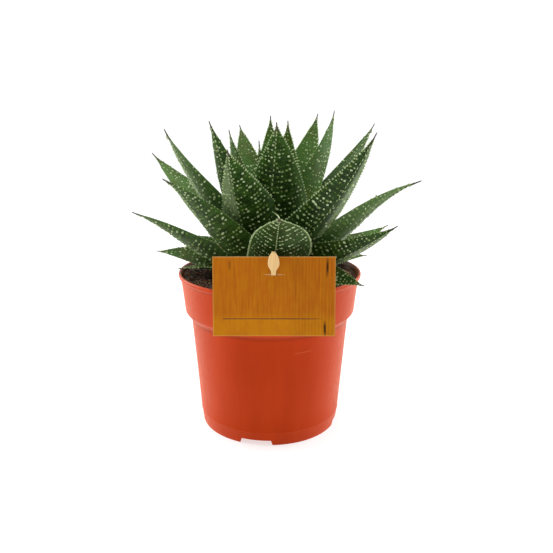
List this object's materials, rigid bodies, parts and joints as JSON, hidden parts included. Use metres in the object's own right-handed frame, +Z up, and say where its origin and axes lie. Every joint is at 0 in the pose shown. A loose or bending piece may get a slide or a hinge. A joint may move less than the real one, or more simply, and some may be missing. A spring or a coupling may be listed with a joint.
{
  "type": "potted gasteria",
  "caption": "Gasteria hybrid in a terracotta-coloured plastic nursery pot: rosette of thick toothed leaves with pale tubercles, peat, and a card label on a wooden stick leaning on the rim",
  "frame": {"origin": "middle of the pot's base on the ground, on the pot's axis; the leaves reach equally far to both sides of it", "axes": "+Z up along the pot's axis, -Y towards the viewer and the card label, +X to the viewer's right"},
  "size_m": [0.1746, 0.1607, 0.207],
  "materials": {
    "pot_plastic": "injection-moulded polypropylene, terracotta orange, softly glossy",
    "peat": null,
    "stem_skin": null,
    "leaf_skin": "thick dark green succulent skin with raised off-white tubercles and white marginal teeth, half-matt wax",
    "card": "0.7 mm card printed with an orange-brown wood grain, pale cut edges",
    "pale_wood": "pale birch stick, sanded, 1.2 mm thick"
  },
  "bodies": {
    "root": {"pot": "pot_plastic", "soil": "peat", "stem": "stem_skin", "leaf_01": "leaf_skin", "leaf_02": "leaf_skin", "leaf_03": "leaf_skin", "leaf_04": "leaf_skin", "leaf_05": "leaf_skin", "leaf_06": "leaf_skin", "leaf_07": "leaf_skin", "leaf_08": "leaf_skin", "leaf_09": "leaf_skin", "leaf_10": "leaf_skin", "leaf_11": "leaf_skin", "leaf_12": "leaf_skin", "leaf_13": "leaf_skin", "leaf_14": "leaf_skin", "leaf_15": "leaf_skin", "leaf_16": "leaf_skin", "leaf_17": "leaf_skin", "leaf_18": "leaf_skin", "leaf_19": "leaf_skin", "leaf_20": "leaf_skin", "leaf_21": "leaf_skin", "leaf_22": "leaf_skin", "leaf_23": "leaf_skin", "leaf_24": "leaf_skin", "leaf_25": "leaf_skin", "leaf_26": "leaf_skin", "leaf_27": "leaf_skin", "leaf_28": "leaf_skin", "leaf_29": "leaf_skin", "leaf_30": "leaf_skin", "leaf_31": "leaf_skin", "leaf_32": "leaf_skin", "leaf_33": "leaf_skin", "plant_label": "card", "label_stick": "pale_wood"}
  },
  "joints": []
}
